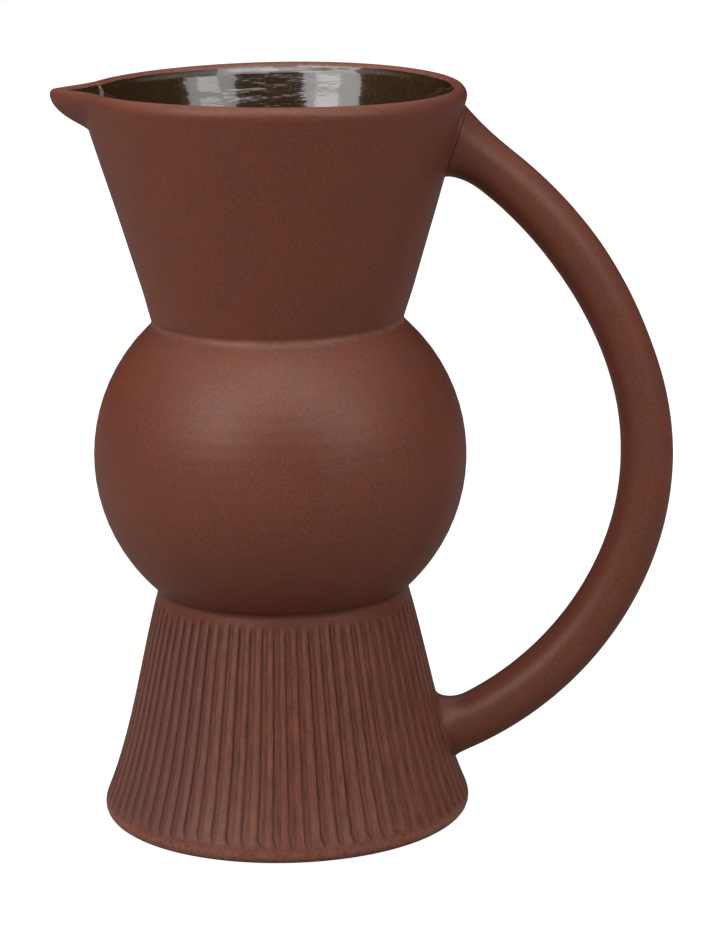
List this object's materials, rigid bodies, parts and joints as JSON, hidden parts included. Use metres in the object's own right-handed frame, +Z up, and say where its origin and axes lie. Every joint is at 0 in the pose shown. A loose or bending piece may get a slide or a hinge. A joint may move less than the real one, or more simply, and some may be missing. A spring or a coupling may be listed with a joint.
{
  "type": "pitcher",
  "caption": "Unglazed dark brown stoneware pitcher: fluted flaring foot, round globe, funnel neck with a beak spout, tall bow handle and a glossy dark glaze inside.",
  "frame": {"origin": "on the vessel's axis, in the plane that the foot's ring stands on", "axes": "+Z up along the vessel's axis, +X towards the handle, so the spout points towards -X"},
  "size_m": [0.2061, 0.1278, 0.25],
  "materials": {
    "clay": "unglazed dark red-brown stoneware, satin and finely grained, with tiny pale specks",
    "slip": "the same clay as a wet-sponged slip, matte and slightly darker in the creases",
    "glaze": "glossy near-black brown glaze with fine olive specks"
  },
  "bodies": {
    "root": {"fluted_foot": "clay", "base_disc": "clay", "globe_body": "clay", "neck_funnel": "clay", "pouring_spout": "clay", "handle": "clay", "glaze_lining": "glaze", "slip_floor_seam": "slip", "slip_foot_globe": "slip", "slip_globe_neck": "slip", "slip_handle_top": "slip", "slip_handle_bottom": "slip", "slip_spout": "slip"}
  },
  "joints": []
}
